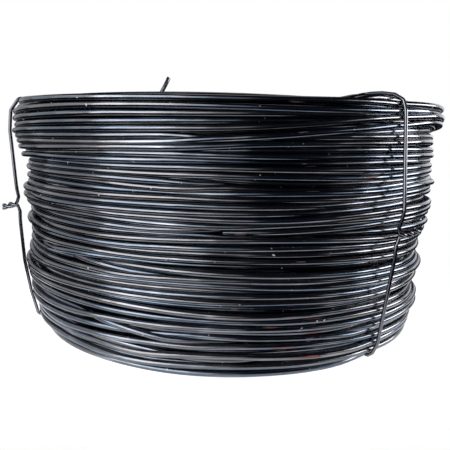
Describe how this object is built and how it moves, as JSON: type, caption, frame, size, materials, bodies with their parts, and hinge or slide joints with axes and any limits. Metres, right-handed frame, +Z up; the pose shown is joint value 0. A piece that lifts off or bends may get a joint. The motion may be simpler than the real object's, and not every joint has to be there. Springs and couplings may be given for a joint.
{
  "type": "coil of binding wire",
  "caption": "Coil of black annealed steel tie wire, bound with thinner wire ties, one wire end standing up out of the bore.",
  "frame": {"origin": "middle of the coil's lower end, on the surface that it stands on", "axes": "+Z up along the coil's axis, -Y towards the side that the picture shows, +X to its right"},
  "size_m": [0.1298, 0.1304, 0.0781],
  "materials": {
    "coil_wire": "black oxide scale with an oiled sheen",
    "tie_wire": "black oxide scale, duller"
  },
  "bodies": {
    "root": {"wire_coil": "coil_wire", "tie_front_right": "tie_wire", "tie_left": "tie_wire", "tie_back_right": "tie_wire", "tie_back_left": "tie_wire"}
  },
  "joints": []
}
